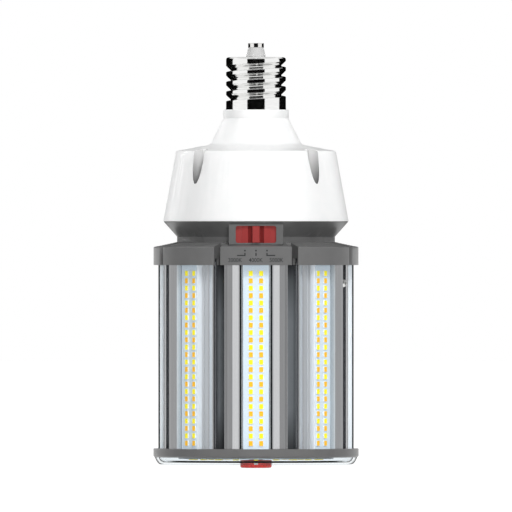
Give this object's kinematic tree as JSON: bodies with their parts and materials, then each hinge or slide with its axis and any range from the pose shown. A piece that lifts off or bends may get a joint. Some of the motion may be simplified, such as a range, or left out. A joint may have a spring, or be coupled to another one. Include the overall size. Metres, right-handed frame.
{
  "type": "corn led bulb",
  "caption": "Corn-cob LED lamp with a mogul screw base, white driver housing, slotted grey cap, ring of light bars, red colour slider and red power selector.",
  "frame": {"origin": "centre of the seat under the metal screw shell, where the base ends and the white collar begins", "axes": "+Z along the lamp's axis towards the centre contact, -Y is the front with the colour switch, +X to the right of it"},
  "size_m": [0.1338, 0.1338, 0.2769],
  "materials": {
    "nickel_plate": "polished",
    "contact_metal": "polished",
    "base_ceramic": "satin",
    "white_housing": "satin",
    "dark_grey_plastic": "satin",
    "red_plastic": "satin",
    "black_plastic": "matte",
    "zinc_steel": "polished",
    "black_steel": "matte",
    "bar_aluminium": "satin",
    "dark_aluminium": "matte",
    "white_board": "matte",
    "green_board": "matte",
    "clear_lens": "polished",
    "cool_phosphor": "matte",
    "warm_phosphor": "matte",
    "ferrite": "matte",
    "winding_tape": "satin",
    "capacitor_sleeve": "satin"
  },
  "bodies": {
    "lamp": {"base_insulator": "base_ceramic", "bottom_bar_screws": "zinc_steel", "bottom_plate": "dark_aluminium", "bottom_ring": "dark_grey_plastic", "capacitors": "capacitor_sleeve", "center_contact": "contact_metal", "color_switch": "black_plastic", "color_switch_board": "green_board", "cool_white_leds": "cool_phosphor", "core_tube": "dark_aluminium", "driver_board": "green_board", "driver_heat_plate": "bar_aluminium", "driver_housing": "white_housing", "earth_nut": "zinc_steel", "earth_screw": "zinc_steel", "earth_tab": "black_steel", "end_board": "white_board", "end_leds": "cool_phosphor", "end_lens": "clear_lens", "heatsink_bar_1": "bar_aluminium", "heatsink_bar_2": "bar_aluminium", "heatsink_bar_3": "bar_aluminium", "heatsink_bar_4": "bar_aluminium", "heatsink_bar_5": "bar_aluminium", "heatsink_bar_6": "bar_aluminium", "heatsink_bar_7": "bar_aluminium", "heatsink_bar_8": "bar_aluminium", "housing_screws": "zinc_steel", "led_board_1": "white_board", "led_board_2": "white_board", "led_board_3": "white_board", "led_board_4": "white_board", "led_board_5": "white_board", "led_board_6": "white_board", "led_board_7": "white_board", "led_board_8": "white_board", "line_choke": "ferrite", "neck_housing": "dark_grey_plastic", "neck_screws": "zinc_steel", "power_switch": "black_plastic", "screw_shell": "nickel_plate", "strip_lens_1": "clear_lens", "strip_lens_2": "clear_lens", "strip_lens_3": "clear_lens", "strip_lens_4": "clear_lens", "strip_lens_5": "clear_lens", "strip_lens_6": "clear_lens", "strip_lens_7": "clear_lens", "strip_lens_8": "clear_lens", "switch_backing": "red_plastic", "top_bar_screws": "zinc_steel", "top_cap": "dark_grey_plastic", "top_plate": "dark_aluminium", "transformer_core": "ferrite", "transformer_winding": "winding_tape", "warm_white_leds": "warm_phosphor"},
    "color_slider": {"color_slider": "red_plastic"},
    "power_knob": {"power_knob": "red_plastic"}
  },
  "joints": [
    {"name": "color_slide", "type": "slide", "parent": "lamp", "child": "color_slider", "axis": [1, 0, 0], "range_m": [-0.0072, 0.0072]},
    {"name": "power_turn", "type": "hinge", "parent": "lamp", "child": "power_knob", "pos_m": [0, 0, -0.2305], "axis": [0, 0, 1], "range_deg": [-45, 45]}
  ]
}
